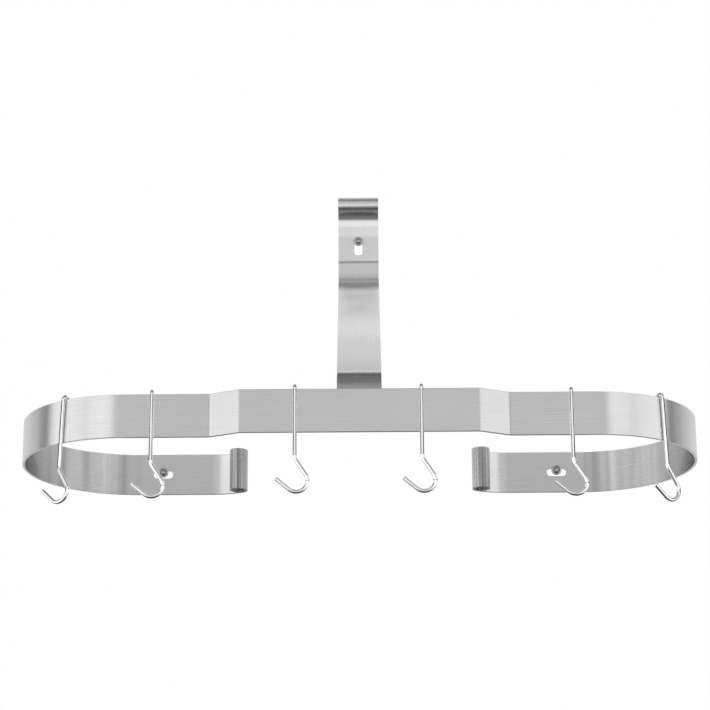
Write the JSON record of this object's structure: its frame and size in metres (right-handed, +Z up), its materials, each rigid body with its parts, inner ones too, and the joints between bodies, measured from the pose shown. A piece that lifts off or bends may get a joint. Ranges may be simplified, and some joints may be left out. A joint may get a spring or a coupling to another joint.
{
  "type": "wall-mounted pot rack",
  "caption": "Open loop of flat bar with rolled ends on the wall, a bent centre arm above it, and wire hooks for pans along its top edge.",
  "frame": {"origin": "on the wall's face, midway between the two rolled ends, at the middle of the loop's height", "axes": "+X along the wall to the viewer's right, +Y into the wall, +Z up"},
  "size_m": [0.794, 0.3256, 0.4548],
  "materials": {
    "brushed_bar": "fine brushing along the bar",
    "weld": "cleaned fillet weld",
    "polished_wire": "polished",
    "plated_screw": "bright zinc-like plating"
  },
  "bodies": {
    "rack": {"rack_band": "brushed_bar", "support_arm": "brushed_bar", "arm_weld": "weld", "screw_left": "plated_screw", "screw_right": "plated_screw", "screw_top": "plated_screw", "washer_left": "plated_screw", "washer_right": "plated_screw", "washer_top": "plated_screw"},
    "hook_1_body": {"hook_1": "polished_wire"},
    "hook_2_body": {"hook_2": "polished_wire"},
    "hook_3_body": {"hook_3": "polished_wire"},
    "hook_4_body": {"hook_4": "polished_wire"},
    "hook_5_body": {"hook_5": "polished_wire"},
    "hook_6_body": {"hook_6": "polished_wire"}
  },
  "joints": [
    {"name": "hook_1_round", "type": "hinge", "parent": "rack", "child": "hook_1_body", "pos_m": [-0.268, -0.129, 0], "axis": [0, 0, 1], "range_deg": [-48, 18]},
    {"name": "hook_2_slide", "type": "slide", "parent": "rack", "child": "hook_2_body", "axis": [1, 0, 0], "range_m": [-0.0197, 0.06]},
    {"name": "hook_3_slide", "type": "slide", "parent": "rack", "child": "hook_3_body", "axis": [1, 0, 0], "range_m": [-0.053, 0.0385]},
    {"name": "hook_4_slide", "type": "slide", "parent": "rack", "child": "hook_4_body", "axis": [1, 0, 0], "range_m": [-0.0358, 0.0557]},
    {"name": "hook_5_slide", "type": "slide", "parent": "rack", "child": "hook_5_body", "axis": [1, 0, 0], "range_m": [-0.065, 0.0155]},
    {"name": "hook_6_round", "type": "hinge", "parent": "rack", "child": "hook_6_body", "pos_m": [0.268, -0.129, 0], "axis": [0, 0, 1], "range_deg": [-22.5, 43.5]}
  ]
}
